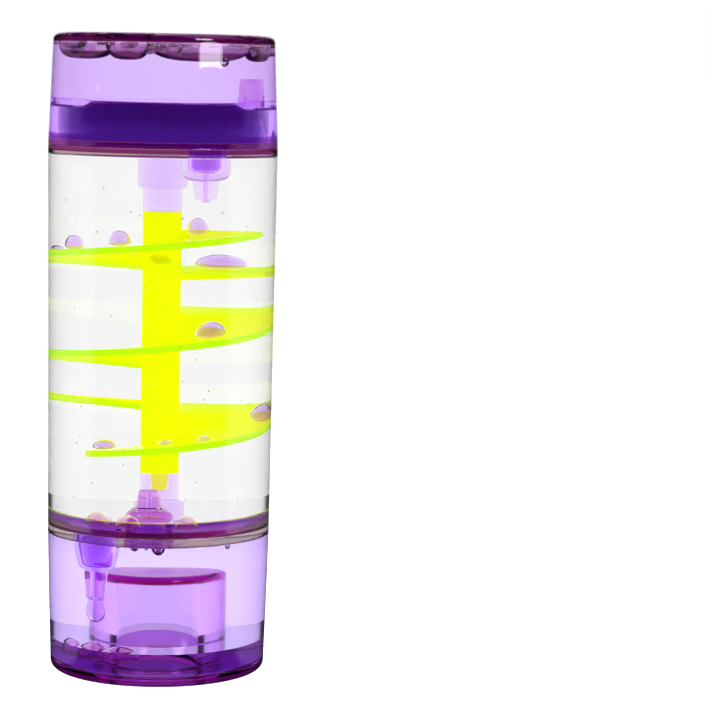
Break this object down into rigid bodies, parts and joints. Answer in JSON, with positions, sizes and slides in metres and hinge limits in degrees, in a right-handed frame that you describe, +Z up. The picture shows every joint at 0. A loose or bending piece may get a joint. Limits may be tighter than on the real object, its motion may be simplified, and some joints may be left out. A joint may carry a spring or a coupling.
{
  "type": "liquid motion timer",
  "caption": "Liquid motion timer: violet drops fall through spouts and roll down yellow ramps in a clear tube between two purple chambers.",
  "frame": {"origin": "centre of the flat base, on the surface that the timer stands on", "axes": "+Z up along the tube, -Y towards the viewer, with the upper spout's drops landing in front on the right"},
  "size_m": [0.052, 0.052, 0.144],
  "materials": {
    "tinted_purple": "clear tinted moulding, polished",
    "clear_plastic": "clear moulding, polished",
    "neon_yellow": "fluorescent moulding",
    "violet_liquid": "dyed liquid",
    "clear_oil": "clear liquid",
    "trapped_air": "bubble"
  },
  "bodies": {
    "case": {"bottom_cap": "tinted_purple", "fill_plug": "clear_plastic", "lower_divider": "tinted_purple", "lower_up_spout": "tinted_purple", "lower_down_spout": "tinted_purple", "centre_tube": "clear_plastic", "spiral_ramp": "neon_yellow", "upper_divider": "tinted_purple", "upper_down_spout": "tinted_purple", "upper_up_spout": "tinted_purple", "top_cap": "tinted_purple", "violet_pool_bottom": "violet_liquid", "violet_pool_centre": "violet_liquid", "violet_pool_top": "violet_liquid", "clear_oil_bottom": "clear_oil", "clear_oil_centre": "clear_oil", "clear_oil_top": "clear_oil", "pool_drops_centre": "violet_liquid", "pool_drops_bottom": "violet_liquid", "ceiling_bubbles": "trapped_air", "divider_bubbles": "trapped_air"},
    "new_drop": {"falling_drop": "violet_liquid"},
    "ramp_drops": {"rolling_drops": "violet_liquid"},
    "spout_drop": {"hanging_drop": "violet_liquid"}
  },
  "joints": [
    {"name": "drop_fall", "type": "slide", "parent": "case", "child": "new_drop", "axis": [0, 0, 1], "range_m": [0, 0.0032], "deforming": ["clear_oil_centre"]},
    {"name": "drop_roll", "type": "hinge", "parent": "new_drop", "child": "ramp_drops", "pos_m": [0, 0, 0.075], "axis": [0, 0, 1], "range_deg": [0, 89]},
    {"name": "spout_drop_fall", "type": "slide", "parent": "case", "child": "spout_drop", "axis": [0, 0, -1], "range_m": [0, 0.0045], "deforming": ["clear_oil_bottom"]}
  ],
  "couplings": [
    {"joint": "drop_roll", "follows": "drop_fall", "rad_per_m": 483.32}
  ]
}
